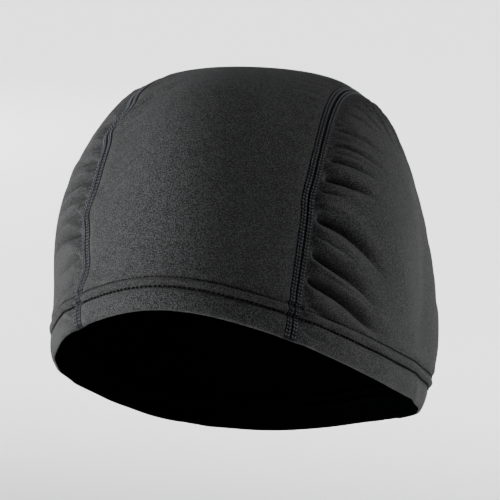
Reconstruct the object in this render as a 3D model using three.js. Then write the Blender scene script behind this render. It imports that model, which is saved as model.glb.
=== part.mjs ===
// A stretch cloth skull cap that is worn under a helmet, held in the form it takes on a head.
// A centre panel runs from the forehead to the nape between two flat seams, and a D shaped
// side panel, gathered along its seam, closes each side. All three end in one turned-up hem.
// Millimetres, +Z up. The front of the cap looks along -Y and the wearer's left is +X.
import * as THREE from 'three';
import { mergeVertices } from 'three/addons/utils/BufferGeometryUtils.js';

// The head form, measured from the middle of the line between the ears.
const earHalfWidth = 75.5;
const frontReach = 112.5;
const backReach = 90;
const crownRise = 121.5;

// The cloth and the hem.
const clothWall = 1.2;
const hemWall = 2.5;
const hemDepth = 15.7;
const hemRowGap = 4.7;
const hemSwell = 0.7;
const hemRiseFront = 51;
const hemDropBack = 33;
const hemBow = 33.5;
const hemTilt = 10;

// The centre panel and the flat seams beside it.
const centrePanelWidth = 88;
const panelShift = 1.8;
const ribbonWidth = 6.4;
const ribbonProud = 0.5;
const ribbonCrown = 0.3;
const seamGap = 0.3;

// The gathers of the side panels.
const foldDepth = 2.6;
const foldWidth = 3.6;
const foldReach = 80;
const foldStart = 3;
const seamPuff = 1.1;
const seamPuffAt = 7;

// How far the cloth stands from the form, section by section. Each section is a cut through the
// line between the ears, turned up from the front about it, in degrees. Ridge is at the middle
// of the cap, flank is two thirds of the way round to the ear and shoulder is halfway to that.
// The values are shares of the head form, which is full at 1, as it is at the ear itself.
const sections = [
  { turn: -90, ridge: 0.8, shoulder: 0.82, flank: 0.96 },
  { turn: -60, ridge: 0.87, shoulder: 0.95, flank: 0.93 },
  { turn: -30, ridge: 0.955, shoulder: 1.015, flank: 0.97 },
  { turn: 0, ridge: 1, shoulder: 1.01, flank: 1.01 },
  { turn: 30, ridge: 1.02, shoulder: 1.01, flank: 1.03 },
  { turn: 60, ridge: 1.08, shoulder: 1.055, flank: 1.1 },
  { turn: 90, ridge: 1, shoulder: 1.075, flank: 1.1 },
  { turn: 120, ridge: 1.03, shoulder: 1.1, flank: 1.07 },
  { turn: 150, ridge: 1.08, shoulder: 1.09, flank: 1.08 },
  { turn: 180, ridge: 1.03, shoulder: 1.03, flank: 1.08 },
  { turn: 210, ridge: 0.92, shoulder: 0.93, flank: 0.99 },
  { turn: 240, ridge: 0.86, shoulder: 0.88, flank: 0.95 },
];
const sectionStep = 30;

// Half the distance between the seams as a share of half the centre panel's width, at even steps
// of turn.
const seamLine = [
  { turn: 0, spread: 0.98 },
  { turn: 30, spread: 1.025 },
  { turn: 60, spread: 1.01 },
  { turn: 90, spread: 0.94 },
  { turn: 120, spread: 0.99 },
  { turn: 150, spread: 1.055 },
  { turn: 180, spread: 1.07 },
  { turn: 210, spread: 1.02 },
  { turn: 240, spread: 1 },
];

// Places where a gather pushes a seam aside. Push is a share of the ribbon's width, outwards if
// positive, and span is in degrees of turn. Side 1 is the wearer's left, -1 the right.
const seamKinks = [
  { side: -1, turn: 20, push: 0.12, span: 4 },
  { side: -1, turn: 26, push: -0.28, span: 4.5 },
  { side: -1, turn: 40.5, push: 0.28, span: 4.5 },
  { side: -1, turn: 63.5, push: 0.2, span: 4.5 },
  { side: -1, turn: 70.5, push: -0.25, span: 5 },
  { side: 1, turn: 47, push: -0.1, span: 4 },
];

// The hem's outline: the place down from its top as a share of its depth, and how far it stands
// out as a share of the swell. The two stitch rows pull it in, and it rolls out between them.
const hemShape = [
  { down: -0.35, out: 0 },
  { down: 0, out: -0.5 },
  { down: 0.15, out: 0.9 },
  { down: 0.3, out: -0.8 },
  { down: 0.62, out: 0.6 },
  { down: 1, out: -0.5 },
];

// The gathers, each a valley that starts at the seam at a turn, leans by so many degrees of turn
// for each degree it runs outwards, and fades at its reach. Reach, depth and width are shares.
const gathers = [
  { side: 1, turn: 68, lean: 0.9, reach: 0.45, depth: 0.4, width: 0.8 },
  { side: 1, turn: 63, lean: 0.95, reach: 0.6, depth: 0.55, width: 0.8 },
  { side: 1, turn: 57.5, lean: 0.9, reach: 0.6, depth: 0.55, width: 0.8 },
  { side: 1, turn: 52.8, lean: 0.6, reach: 0.6, depth: 0.95, width: 1 },
  { side: 1, turn: 42.8, lean: 0.1, reach: 0.75, depth: 0.95, width: 1.15 },
  { side: 1, turn: 34.6, lean: -0.17, reach: 0.7, depth: 0.9, width: 1.05 },
  { side: 1, turn: 27.8, lean: -0.19, reach: 1, depth: 1, width: 1 },
  { side: 1, turn: 22.3, lean: -0.3, reach: 0.3, depth: 0.4, width: 0.7 },
  { side: 1, turn: 15, lean: -0.25, reach: 0.45, depth: 0.35, width: 0.9 },
  { side: -1, turn: 60.8, lean: 0.4, reach: 0.5, depth: 0.5, width: 0.9 },
  { side: -1, turn: 53.4, lean: 0.5, reach: 0.6, depth: 0.6, width: 0.9 },
  { side: -1, turn: 48.7, lean: 0.35, reach: 0.55, depth: 0.85, width: 0.8 },
  { side: -1, turn: 44.2, lean: 0.36, reach: 0.65, depth: 0.6, width: 0.8 },
  { side: -1, turn: 40, lean: 0.36, reach: 0.7, depth: 0.55, width: 0.8 },
  { side: -1, turn: 34.8, lean: 0.33, reach: 0.7, depth: 0.9, width: 1 },
  { side: -1, turn: 29.6, lean: 0, reach: 0.5, depth: 0.5, width: 0.9 },
  { side: -1, turn: 24.2, lean: -0.3, reach: 0.4, depth: 0.4, width: 0.8 },
];

// The gathers of the back half are alike on both sides.
const backGathers = [
  { turn: 84, lean: 0.4, reach: 0.4, depth: 0.3, width: 0.9 },
  { turn: 98, lean: -0.2, reach: 0.5, depth: 0.4, width: 1 },
  { turn: 111, lean: -0.4, reach: 0.55, depth: 0.6, width: 1 },
  { turn: 122, lean: -0.5, reach: 0.6, depth: 0.7, width: 1.05 },
  { turn: 134, lean: -0.4, reach: 0.65, depth: 0.85, width: 1.1 },
  { turn: 147, lean: -0.2, reach: 0.7, depth: 0.9, width: 1.1 },
  { turn: 160, lean: 0, reach: 0.7, depth: 0.85, width: 1.1 },
  { turn: 173, lean: 0.1, reach: 0.6, depth: 0.7, width: 1 },
  { turn: 186, lean: 0.2, reach: 0.5, depth: 0.5, width: 1 },
];
for (const side of [-1, 1]) {
  for (const gather of backGathers) gathers.push({ side, ...gather });
}

// How finely the cloth is divided. A side panel's fan halves its rays after the listed rows.
const centreColumns = 8;
const seamRows = 80;
const fanRows = 12;
const fanHalvings = [6, 8, 10];
const rowCrowding = 1.6;
const solverSteps = 44;
const probeAngle = 0.002;
const weldScale = 1000;

// The cap hangs from the inside of its crown, which is the origin.
const seatHeight = crownRise - clothWall;

const radians = THREE.MathUtils.degToRad;
const blend = THREE.MathUtils.lerp;

// Finds where a rule that is false at the low end and true at the high end becomes true.
function switchPoint(low, high, rule) {
  for (let step = 0; step < solverSteps; step += 1) {
    const middle = (low + high) / 2;
    if (rule(middle)) high = middle;
    else low = middle;
  }
  return (low + high) / 2;
}

// Smooth steps between the rows of a table with one rising column and one value column.
function tableValue(rows, place, value, at) {
  const next = rows.findIndex((row) => row[place] >= at);
  if (next === 0) return rows[0][value];
  if (next < 0) return rows[rows.length - 1][value];
  const share = (at - rows[next - 1][place]) / (rows[next][place] - rows[next - 1][place]);
  return blend(rows[next - 1][value], rows[next][value], THREE.MathUtils.smootherstep(share, 0, 1));
}

// A smooth curve through the seam's rows.
const seamCurve = new THREE.SplineCurve(seamLine.map((row) => new THREE.Vector2(row.turn, row.spread)));

function seamSpread(turn) {
  const share = turn / seamLine[seamLine.length - 1].turn;
  return seamCurve.getPoint(THREE.MathUtils.clamp(share, 0, 1)).y;
}

const sectionLoop = new THREE.CatmullRomCurve3(
  sections.map((row) => new THREE.Vector3(row.ridge, row.shoulder, row.flank)),
  true,
  'catmullrom',
  0.5,
);

// Fullness at a turn and a side angle, both in radians. The side angle is 0 at the middle of the
// cap and 90 degrees at the ear, and an even cosine series passes through the section's values.
function fullness(turn, side) {
  const rows = sections.length;
  const place = (THREE.MathUtils.radToDeg(turn) - sections[0].turn) / sectionStep;
  const share = THREE.MathUtils.euclideanModulo(place, rows) / rows;
  const { x: ridge, y: shoulder, z: flank } = sectionLoop.getPoint(share);
  const ear = 1;
  const level = (ridge + 2 * shoulder + 2 * flank + ear) / 6;
  const first = (ridge + shoulder - flank - ear) / 3;
  const second = (ridge - shoulder - flank + ear) / 3;
  const third = (ridge - 2 * shoulder + 2 * flank - ear) / 6;
  return level + first * Math.cos(2 * side) + second * Math.cos(4 * side) + third * Math.cos(6 * side);
}

// A heading on the form is a unit vector before the form is stretched to its sizes.
function heading(turn, side) {
  const away = Math.cos(side);
  return new THREE.Vector3(Math.sin(side), -away * Math.cos(turn), away * Math.sin(turn));
}

function turnOf(direction) {
  const turn = Math.atan2(direction.z, -direction.y);
  return turn < -Math.PI / 2 ? turn + 2 * Math.PI : turn;
}

function sideOf(direction) {
  return Math.asin(THREE.MathUtils.clamp(direction.x, -1, 1));
}

function formPoint(direction) {
  const unit = direction.clone().normalize();
  const reach = unit.multiplyScalar(fullness(turnOf(unit), sideOf(unit)));
  const halfLength = (frontReach + backReach) / 2;
  const lean = (backReach - frontReach) / 2;
  return new THREE.Vector3(
    earHalfWidth * reach.x,
    reach.y * (halfLength + lean * reach.y),
    crownRise * reach.z,
  );
}

function formNormal(direction) {
  const unit = direction.clone().normalize();
  const helper = Math.abs(unit.z) < 0.7 ? new THREE.Vector3(0, 0, 1) : new THREE.Vector3(0, 1, 0);
  const across = helper.cross(unit).normalize();
  const along = unit.clone().cross(across);
  const slope = (tangent) => {
    const ahead = formPoint(unit.clone().addScaledVector(tangent, probeAngle));
    return ahead.sub(formPoint(unit.clone().addScaledVector(tangent, -probeAngle)));
  };
  return slope(across).cross(slope(along)).normalize();
}

// Height of the hem's top, which climbs to the forehead and falls to the nape. Behind the ears it
// tilts, and sits higher on the wearer's left.
function hemTop({ x, y }) {
  const toFront = y < 0 ? -y / frontReach : -y / backReach;
  const tilt = y < 0 ? 0 : (hemTilt * x) / earHalfWidth;
  const climb = (hemRiseFront + hemDropBack) / 2;
  const tip = (hemRiseFront - hemDropBack) / 2;
  const bend = climb - hemBow;
  return hemBow * toFront + (tip + tilt) * toFront ** 2 + bend * toFront ** 3;
}

function dropOf(point) {
  return hemTop(point) - point.z;
}

function wallAt(drop) {
  return drop > hemRowGap / 4 ? hemWall : clothWall;
}

// Side angle of the middle of a seam.
function seamSideAngle(side, turn) {
  const degrees = THREE.MathUtils.radToDeg(turn);
  let width = side * panelShift + (seamSpread(degrees) * centrePanelWidth) / 2;
  for (const kink of seamKinks) {
    if (kink.side !== side) continue;
    width += kink.push * ribbonWidth * Math.exp(-(((degrees - kink.turn) / kink.span) ** 2));
  }
  return switchPoint(0, Math.PI / 2, (angle) => formPoint(heading(turn, angle)).x > width);
}

const seamTable = new Map();

// Side angle of a line beside a seam at an offset square to it, outwards if positive. What is
// found at a turn is kept for the next use.
function besideSeam(side, turn, offset) {
  const key = `${side} ${turn.toFixed(6)}`;
  if (!seamTable.has(key)) {
    const angle = seamSideAngle(side, turn);
    const ahead = formPoint(heading(turn + probeAngle, seamSideAngle(side, turn + probeAngle)));
    const behind = formPoint(heading(turn - probeAngle, seamSideAngle(side, turn - probeAngle)));
    const run = ahead.sub(behind).normalize();
    const outer = formPoint(heading(turn, angle + probeAngle));
    const across = outer.sub(formPoint(heading(turn, angle - probeAngle)));
    const stretch = across.length() / (2 * probeAngle);
    const slant = Math.sqrt(1 - across.normalize().dot(run) ** 2);
    seamTable.set(key, { angle, perOffset: 1 / (stretch * slant) });
  }
  const { angle, perOffset } = seamTable.get(key);
  return angle + offset * perOffset;
}

// How far the cloth stands out from the form at a heading.
function relief(direction, panelSide) {
  const point = formPoint(direction);
  let out = hemSwell * tableValue(hemShape, 'down', 'out', dropOf(point) / hemDepth);
  if (panelSide === 0) return out;
  const turn = turnOf(direction);
  const seam = formPoint(heading(turn, panelSide * besideSeam(panelSide, turn, ribbonWidth / 2)));
  const away = seam.distanceTo(point);
  const sideAngle = Math.abs(sideOf(direction)) - besideSeam(panelSide, turn, 0);
  const arm = Math.hypot(point.y, point.z);
  const start = 1 - Math.exp(-((away / foldStart) ** 2));
  out += seamPuff * (away / seamPuffAt) * Math.exp(1 - away / seamPuffAt);
  for (const gather of gathers) {
    const reach = gather.reach * foldReach;
    if (gather.side !== panelSide || away > reach) continue;
    const middle = radians(gather.turn) + gather.lean * sideAngle;
    const across = ((turn - middle) * arm) / (gather.width * foldWidth);
    const valley = (1 - across ** 2) * Math.exp(-(across ** 2) / 1.7);
    out -= gather.depth * foldDepth * valley * start * (1 - (away / reach) ** 2) ** 2;
  }
  return out;
}

// Turn at which a line crosses the hem at a drop, on the front or at the back.
function hemTurn(line, drop, atBack) {
  const rule = (turn) => dropOf(formPoint(heading(turn, line(turn)))) < drop;
  if (atBack) return switchPoint(radians(235), radians(120), rule);
  return switchPoint(radians(-25), radians(80), rule);
}

// Heading of the hem at a compass angle and a drop.
function hemHeading(compass, drop) {
  const at = (lift) => new THREE.Vector3(
    Math.sin(compass) * Math.cos(lift),
    -Math.cos(compass) * Math.cos(lift),
    Math.sin(lift),
  );
  return at(switchPoint(radians(-80), radians(80), (lift) => dropOf(formPoint(at(lift))) < drop));
}

function compassOf(direction) {
  return Math.atan2(direction.x, -direction.y);
}

// The rows of the hem, from its top to its edge.
const hemDrops = [0, hemRowGap / 2, hemRowGap, (hemRowGap + hemDepth) / 2, hemDepth];

// Turns along a line from the front edge over the crown to the back edge.
function lineTurns(line, rows) {
  const front = hemDrops.map((drop) => hemTurn(line, drop, false)).reverse();
  const back = hemDrops.map((drop) => hemTurn(line, drop, true));
  const turns = front.slice(0, -1);
  for (let row = 0; row <= rows; row += 1) {
    turns.push(blend(front[front.length - 1], back[0], row / rows));
  }
  return turns.concat(back.slice(1));
}

// Joins two rows of vertex numbers with triangles. A row may have half the cells of the other.
function stripTriangles(upper, lower) {
  const triangles = [];
  const cells = lower.length - 1;
  const fold = (upper.length - 1) / cells;
  for (let cell = 0; cell < cells; cell += 1) {
    const a = upper[cell * fold];
    const b = upper[cell * fold + fold];
    const c = lower[cell + 1];
    const d = lower[cell];
    if (fold === 2) {
      const middle = upper[cell * fold + 1];
      triangles.push([a, middle, d], [middle, c, d], [middle, b, c]);
    } else if (cell < cells / 2) triangles.push([a, b, c], [a, c, d]);
    else triangles.push([a, b, d], [b, c, d]);
  }
  return triangles;
}

// Makes a closed wall from patches, each made of rows of paired outer and inner points.
function shellGeometry(patches) {
  const outer = [];
  const inner = [];
  const numbers = new Map();
  const numberOf = (pair) => {
    const key = pair.outer.toArray().map((value) => Math.round(value * weldScale)).join(' ');
    if (!numbers.has(key)) {
      numbers.set(key, outer.length);
      outer.push(pair.outer);
      inner.push(pair.inner);
    }
    return numbers.get(key);
  };
  const face = [];
  for (const rows of patches) {
    const numbered = rows.map((row) => row.map(numberOf));
    for (let row = 1; row < numbered.length; row += 1) {
      face.push(...stripTriangles(numbered[row - 1], numbered[row]));
    }
  }
  const sheet = face.filter(([a, b, c]) => a !== b && b !== c && c !== a);
  const count = outer.length;
  const triangles = sheet.concat(sheet.map(([a, b, c]) => [c + count, b + count, a + count]));
  const edges = new Set(sheet.flatMap(([a, b, c]) => [`${a} ${b}`, `${b} ${c}`, `${c} ${a}`]));
  for (const edge of edges) {
    const [a, b] = edge.split(' ').map(Number);
    if (edges.has(`${b} ${a}`)) continue;
    triangles.push([b, a, a + count], [b, a + count, b + count]);
  }
  const points = outer.concat(inner);
  const volume = triangles.reduce((sum, [a, b, c]) => (
    sum + points[a].dot(points[b].clone().cross(points[c])) / 6), 0);
  if (volume < 0) triangles.forEach((triangle) => triangle.reverse());
  const geometry = new THREE.BufferGeometry();
  const values = points.flatMap((point) => [point.x, point.y, point.z - seatHeight]);
  geometry.setAttribute('position', new THREE.Float32BufferAttribute(values, 3));
  geometry.setIndex(triangles.flat());
  const solid = mergeVertices(geometry, 1e-4);
  solid.computeVertexNormals();
  return solid;
}

// One pair of points of the wall at a heading.
function wallPair(direction, panelSide, drop, proud = 0) {
  const point = formPoint(direction);
  const normal = formNormal(direction);
  const out = relief(direction, panelSide);
  return {
    outer: point.clone().addScaledVector(normal, out + proud),
    inner: point.clone().addScaledVector(normal, out - wallAt(drop) - Math.min(proud, ribbonProud)),
  };
}

function pairAt(turn, side, panelSide, proud) {
  const direction = heading(turn, side);
  return wallPair(direction, panelSide, dropOf(formPoint(direction)), proud);
}

// The centre panel is a grid of lines that run over the head between the two seams.
function centrePanel() {
  const edge = ribbonWidth / 2 + seamGap;
  const columns = [];
  for (let column = 0; column <= centreColumns; column += 1) {
    const share = column / centreColumns;
    const line = (turn) => blend(-besideSeam(-1, turn, -edge), besideSeam(1, turn, -edge), share);
    columns.push(lineTurns(line, seamRows).map((turn) => pairAt(turn, line(turn), 0)));
  }
  return shellGeometry([columns]);
}

// A flat seam is a strip with a low crown that fills the space between two panels.
function seamRibbon(side) {
  const columns = [-1, 0, 1].map((share) => {
    const line = (turn) => side * besideSeam(side, turn, (share * ribbonWidth) / 2);
    const proud = ribbonProud + (share === 0 ? ribbonCrown : 0);
    return lineTurns(line, seamRows).map((turn) => pairAt(turn, line(turn), 0, proud));
  });
  return shellGeometry([columns]);
}

// Turn at which the hem's top crosses a side angle, on the front or at the back.
function hemTopTurn(side, angle, atBack) {
  return hemTurn(() => side * angle, 0, atBack);
}

// A side panel is a fan of rays from its seam to the ear. Its first and last rays are the hem's
// top, and the hem hangs below them in a band.
function sidePanel(side) {
  const line = (turn) => besideSeam(side, turn, ribbonWidth / 2 + seamGap);
  const signed = (turn) => side * line(turn);
  const front = hemDrops.map((drop) => hemTurn(signed, drop, false));
  const back = hemDrops.map((drop) => hemTurn(signed, drop, true));
  const fan = [];
  for (let row = 0; row <= fanRows; row += 1) {
    const stations = seamRows / 2 ** fanHalvings.filter((last) => row > last).length;
    const share = (row / fanRows) ** rowCrowding;
    const points = [];
    for (let station = 0; station <= stations; station += 1) {
      const place = station / stations;
      const start = blend(front[0], back[0], place);
      const angle = blend(line(start), Math.PI / 2, share);
      const bend = blend(
        hemTopTurn(side, angle, false) - front[0],
        hemTopTurn(side, angle, true) - back[0],
        place,
      );
      const onHem = station === 0 || station === stations || row === fanRows;
      const direction = heading(start + (row === 0 ? 0 : bend), side * angle);
      points.push({ direction, ...wallPair(direction, side, onHem ? 0 : -hemDepth) });
    }
    fan.push(row === fanRows ? points.fill(points[0]) : points);
  }
  const hemTopRow = fan.map((row) => row[0]);
  hemTopRow.push(...fan.slice(0, -1).reverse().map((row) => row[row.length - 1]));
  const hem = [hemTopRow];
  const ends = (level) => [front[level], back[level]].map((turn) => compassOf(heading(turn, signed(turn))));
  for (let level = 1; level < hemDrops.length; level += 1) {
    const shift = ends(level).map((compass, end) => compass - ends(0)[end]);
    hem.push(hemTopRow.map((top, station) => {
      const place = station / (hemTopRow.length - 1);
      const compass = compassOf(top.direction) + blend(shift[0], shift[1], place);
      return wallPair(hemHeading(compass, hemDrops[level]), side, hemDrops[level]);
    }));
  }
  return shellGeometry([fan, hem]);
}

const jersey = { color: 0x1b1b1d, roughness: 0.85, metalness: 0, side: THREE.DoubleSide };
const thread = { color: 0x15171b, roughness: 0.7, metalness: 0, side: THREE.DoubleSide };

const cap = new THREE.Group();
function addPiece(name, geometry, finish) {
  const piece = new THREE.Mesh(geometry, new THREE.MeshStandardMaterial(finish));
  piece.name = name;
  cap.add(piece);
}

addPiece('center_panel', centrePanel(), jersey);
addPiece('left_panel', sidePanel(1), jersey);
addPiece('right_panel', sidePanel(-1), jersey);
addPiece('left_seam', seamRibbon(1), thread);
addPiece('right_seam', seamRibbon(-1), thread);

export default cap;
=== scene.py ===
import math
from collections import namedtuple

import bpy
import numpy as np
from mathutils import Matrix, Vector


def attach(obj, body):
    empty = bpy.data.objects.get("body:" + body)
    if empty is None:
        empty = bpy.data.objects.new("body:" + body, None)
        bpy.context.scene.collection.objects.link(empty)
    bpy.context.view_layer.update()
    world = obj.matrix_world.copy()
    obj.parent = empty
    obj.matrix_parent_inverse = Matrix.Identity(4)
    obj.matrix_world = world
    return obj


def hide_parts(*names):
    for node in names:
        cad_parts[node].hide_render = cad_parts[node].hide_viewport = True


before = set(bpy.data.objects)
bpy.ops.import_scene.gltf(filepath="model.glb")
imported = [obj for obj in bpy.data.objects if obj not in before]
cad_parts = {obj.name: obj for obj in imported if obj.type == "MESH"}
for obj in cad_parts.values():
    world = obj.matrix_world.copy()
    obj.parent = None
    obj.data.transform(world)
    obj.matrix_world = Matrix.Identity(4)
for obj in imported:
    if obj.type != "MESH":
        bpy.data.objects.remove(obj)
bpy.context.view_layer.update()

# Sizes of the cap in millimetres: the form, the hem and the seams as in its CAD source, and the
# finer relief of the cloth.
EAR_HALF_WIDTH = 75.5
FRONT_REACH = 112.5
BACK_REACH = 90.0
CROWN_RISE = 121.5
CLOTH_WALL = 1.2
HEM_WALL = 2.5
HEM_DEPTH = 15.7
HEM_ROW_GAP = 4.7
HEM_RISE_FRONT = 51.0
HEM_DROP_BACK = 33.0
HEM_BOW = 33.5
HEM_TILT = 10.0
CENTRE_PANEL_WIDTH = 88.0
PANEL_SHIFT = 1.8
RIBBON_WIDTH = 6.4
FOLD_DEPTH = 3.4
FOLD_WIDTH = 3.6
FOLD_REACH = 66.0
FOLD_START = 3.0
SEAM_PUFF = 1.1
SEAM_PUFF_AT = 7.0
CENTRE_PUFF = 0.54
CENTRE_PUFF_AT = 4.0
SEAM_OVERLAP = 0.5
HEM_RADIUS = 95.0
HEM_ROW_WIDTH = 1.6
HEM_SWELL_FROM = -4.0
HEM_SWELL_TO = 3.0
SEAT_HEIGHT = CROWN_RISE - CLOTH_WALL
WALL_STEP = 0.6
LEAST_LIP_SQUARE = 0.02
MM = 0.001

# The form's fullness by turn, as shares of an egg through the reaches above. Turn is degrees from
# the front over the crown, which is at 90, to the back at 180.
Section = namedtuple("Section", "turn ridge shoulder flank")
SECTIONS = (
    Section(-90, 0.8, 0.82, 0.96),
    Section(-60, 0.87, 0.95, 0.93),
    Section(-30, 0.955, 1.015, 0.97),
    Section(0, 1.0, 1.01, 1.01),
    Section(30, 1.02, 1.01, 1.03),
    Section(60, 1.08, 1.055, 1.1),
    Section(90, 1.0, 1.075, 1.1),
    Section(120, 1.03, 1.1, 1.07),
    Section(150, 1.08, 1.09, 1.08),
    Section(180, 1.03, 1.03, 1.08),
    Section(210, 0.92, 0.93, 0.99),
    Section(240, 0.86, 0.88, 0.95),
)
SECTION_STEP = 30.0

# Half the distance between the seams as a share of half the centre panel, every 30 degrees.
SEAM_SPREADS = (0.98, 1.025, 1.01, 0.94, 0.99, 1.055, 1.07, 1.02, 1.0)

# Places at which a seam swerves, by a push outwards in ribbon widths over a span of degrees.
Kink = namedtuple("Kink", "side turn push span")
SEAM_KINKS = (
    Kink(-1, 20, 0.16, 4),
    Kink(-1, 26, -0.4, 4.2),
    Kink(-1, 40.5, 0.42, 4.2),
    Kink(-1, 63.5, 0.42, 3.8),
    Kink(-1, 70.5, -0.45, 4.2),
    Kink(1, 47, -0.1, 4),
)

# The hem's outline in millimetres: how far it stands out at each place down from its top.
HemStop = namedtuple("HemStop", "drop out")
HEM_STOPS = (
    HemStop(-6.0, 0.0),
    HemStop(-1.4, 0.2),
    HemStop(0.0, -0.5),
    HemStop(1.0, 0.3),
    HemStop(2.2, 0.95),
    HemStop(3.5, 0.5),
    HemStop(4.7, -0.75),
    HemStop(5.9, 0.0),
    HemStop(8.5, 0.35),
    HemStop(12.0, 0.3),
    HemStop(15.7, -0.35),
)

# The gathers: valleys that start at a seam. Lean is degrees of turn for each degree outwards, and
# reach, depth and width are shares of FOLD_REACH, FOLD_DEPTH and FOLD_WIDTH.
Gather = namedtuple("Gather", "side turn lean reach depth width")
FRONT_GATHERS = (
    Gather(1, 77, 0.6, 0.3, 0.35, 0.5),
    Gather(1, 72, 0.65, 0.25, 0.3, 0.4),
    Gather(1, 68, 0.7, 0.42, 0.6, 0.5),
    Gather(1, 64.9, 0.7, 0.27, 0.4, 0.35),
    Gather(1, 62.2, 0.7, 0.5, 0.6, 0.42),
    Gather(1, 59.9, 0.65, 0.3, 0.4, 0.35),
    Gather(1, 57.4, 0.6, 0.46, 0.7, 0.45),
    Gather(1, 52.8, 0.45, 0.5, 1.25, 0.75),
    Gather(1, 48.6, 0.45, 0.3, 0.4, 0.4),
    Gather(1, 45.2, 0.2, 0.45, 0.25, 0.5),
    Gather(1, 42.8, 0.1, 0.75, 1.35, 0.95),
    Gather(1, 38.6, -0.05, 0.4, 0.3, 0.5),
    Gather(1, 34.6, -0.17, 0.7, 1.3, 0.9),
    Gather(1, 30.6, -0.13, 0.75, 0.35, 0.4),
    Gather(1, 27.8, -0.19, 1.0, 1.55, 0.85),
    Gather(1, 22.3, -0.3, 0.32, 0.55, 0.6),
    Gather(1, 15, -0.25, 0.45, 0.35, 0.8),
    Gather(-1, 66.5, 0.45, 0.45, 0.5, 0.6),
    Gather(-1, 60.8, 0.4, 0.55, 0.8, 0.7),
    Gather(-1, 53.4, 0.5, 0.6, 0.9, 0.7),
    Gather(-1, 48.7, 0.35, 0.6, 1.25, 0.65),
    Gather(-1, 44.2, 0.36, 0.65, 0.85, 0.55),
    Gather(-1, 40, 0.36, 0.7, 0.8, 0.55),
    Gather(-1, 34.8, 0.33, 0.7, 1.3, 0.75),
    Gather(-1, 29.6, 0.0, 0.5, 0.65, 0.7),
    Gather(-1, 24.2, -0.3, 0.4, 0.4, 0.8),
)
BackGather = namedtuple("BackGather", "turn lean reach depth width")
BACK_GATHERS = (
    BackGather(84, 0.4, 0.4, 0.3, 0.8),
    BackGather(91, 0.1, 0.35, 0.25, 0.6),
    BackGather(98, -0.2, 0.5, 0.45, 0.9),
    BackGather(104.5, -0.3, 0.35, 0.3, 0.6),
    BackGather(111, -0.4, 0.55, 0.65, 0.9),
    BackGather(116.5, -0.45, 0.35, 0.3, 0.5),
    BackGather(122, -0.5, 0.6, 0.75, 0.95),
    BackGather(128.5, -0.45, 0.4, 0.3, 0.6),
    BackGather(134, -0.4, 0.65, 0.9, 1.0),
    BackGather(140.5, -0.3, 0.4, 0.35, 0.6),
    BackGather(147, -0.2, 0.7, 0.95, 1.0),
    BackGather(153.5, -0.1, 0.4, 0.3, 0.6),
    BackGather(160, 0.0, 0.7, 0.9, 1.0),
    BackGather(166.5, 0.05, 0.4, 0.3, 0.6),
    BackGather(173, 0.1, 0.6, 0.75, 0.9),
    BackGather(179.5, 0.15, 0.35, 0.3, 0.6),
    BackGather(186, 0.2, 0.5, 0.5, 0.9),
)
GATHERS = FRONT_GATHERS + tuple(
    Gather(side, *gather) for side in (-1, 1) for gather in BACK_GATHERS
)

# Small puckers of the centre panel, in the same measures, where a seam kinks.
PUCKERS = (
    Gather(-1, 67, 0.05, 0.42, 1.1, 0.9),
    Gather(-1, 61.5, 0.0, 0.3, 0.45, 0.6),
    Gather(-1, 44, -0.05, 0.3, 0.45, 0.8),
    Gather(-1, 24, 0.1, 0.22, 0.35, 0.6),
)

# Uneven small waves in the cloth: height and pitch in millimetres, and the seed of their mix.
Wave = namedtuple("Wave", "height pitch seed")
HEM_ROW_WAVE = Wave(0.22, 3.4, 5)
HEM_LONG_WAVE = Wave(0.35, 34, 8)
CENTRE_SEAM_WAVES = {-1: Wave(0.5, 9.5, 21), 1: Wave(0.5, 9.5, 22)}
SIDE_SEAM_WAVES = {-1: Wave(0.75, 4.0, 30), 1: Wave(0.75, 4.0, 32)}
WAVES_MIXED = 5
SHORTEST_WAVE = 0.7
LONGEST_WAVE = 1.5

# Distances from a seam in millimetres at which its waves begin and over which they fade.
CENTRE_WAVE_START = 2.2
CENTRE_WAVE_FADE = 7
SIDE_WAVE_START = 1.6
SIDE_WAVE_FADE = 9

# The outline across a gather: a broad valley between low ridges, with a sharp crease in it.
VALLEY_DEPTH = 0.65
VALLEY_SPREAD = 1.7
CREASE_DEPTH = 0.8
CREASE_WIDTH = 0.32

# A gather's bends to the side: their size, and the millimetres along it for a radian of bend and
# for the bends to grow by their size.
WANDER = 0.35
WANDER_PITCH = 9
WANDER_GROWTH = 30
WANDER_PHASE = 1.7

PROBE = 0.002
STEEP = 0.7
SOLVER_STEPS = 40


# ---------------------------------------------------------------- the form of the worn cap


def smooth_between(start, leave, end, arrive, share):
    """The smooth curve between two values with their slopes, at a share of the way."""
    square = share**2
    cube = share**3
    return (
        start * (2 * cube - 3 * square + 1)
        + leave * (cube - 2 * square + share)
        + end * (3 * square - 2 * cube)
        + arrive * (cube - square)
    )


def even_curve(values, place, closed):
    """A smooth curve through evenly spaced values, read at places counted in steps."""
    values = np.asarray(values, float)
    count = len(values)
    step = np.floor(place).astype(int)
    if not closed:
        step = np.clip(step, 0, count - 2)
    along = place - step

    def value(offset):
        index = step + offset
        return values[np.mod(index, count) if closed else np.clip(index, 0, count - 1)]

    start, end = value(0), value(1)
    leave = (end - value(-1)) / 2
    arrive = (value(2) - start) / 2
    return smooth_between(start, leave, end, arrive, along)


def switch_point(low, high, rule):
    """Where a rule, false at the low end and true at the high end, becomes true."""
    low = np.array(low, float)
    high = np.array(high, float)
    for _ in range(SOLVER_STEPS):
        middle = (low + high) / 2
        past = rule(middle)
        high = np.where(past, middle, high)
        low = np.where(past, low, middle)
    return (low + high) / 2


def soft_step(low, high, at):
    """A smooth rise from 0 to 1 between two places."""
    share = np.clip((at - low) / (high - low), 0, 1)
    return share * share * (3 - 2 * share)


def hump(place, middle, width):
    """A bell shaped hump, 1 high at its middle."""
    return np.exp(-(((place - middle) / width) ** 2))


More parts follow.
